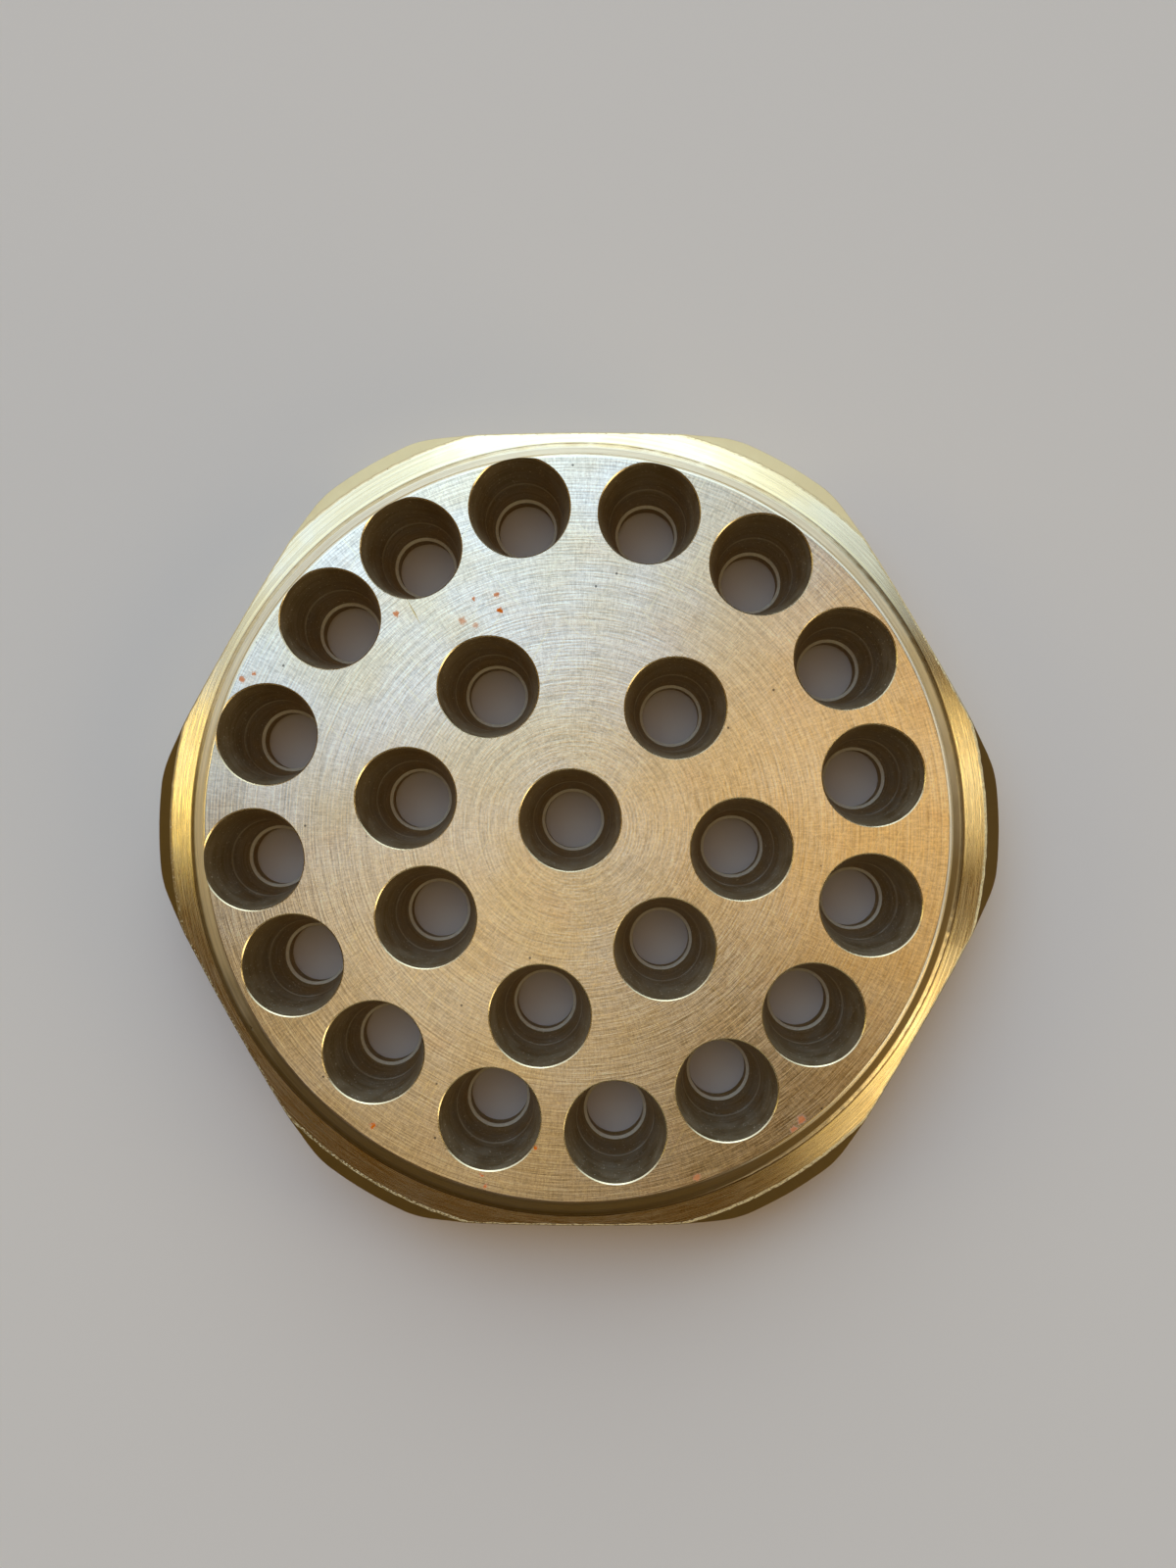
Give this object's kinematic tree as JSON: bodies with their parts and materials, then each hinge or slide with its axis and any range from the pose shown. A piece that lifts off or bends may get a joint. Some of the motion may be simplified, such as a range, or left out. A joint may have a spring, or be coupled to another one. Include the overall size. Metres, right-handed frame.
{
  "type": "drilled die plate",
  "caption": "Round raised brass face on a six-sided spanner flange, drilled through with tapered holes that funnel a soft material into straight strands.",
  "frame": {"origin": "middle of the flat underside, on the axis that the plate was turned about", "axes": "+Z along the turning axis, out of the raised face; two corners of the hexagonal flange lie along +X and -X, and two of its flats face +Y and -Y"},
  "size_m": [0.0864, 0.08, 0.0125],
  "materials": {
    "turned_brass": "turned and brushed, unlacquered, lightly worn"
  },
  "bodies": {
    "root": {"die_plate": "turned_brass"}
  },
  "joints": []
}
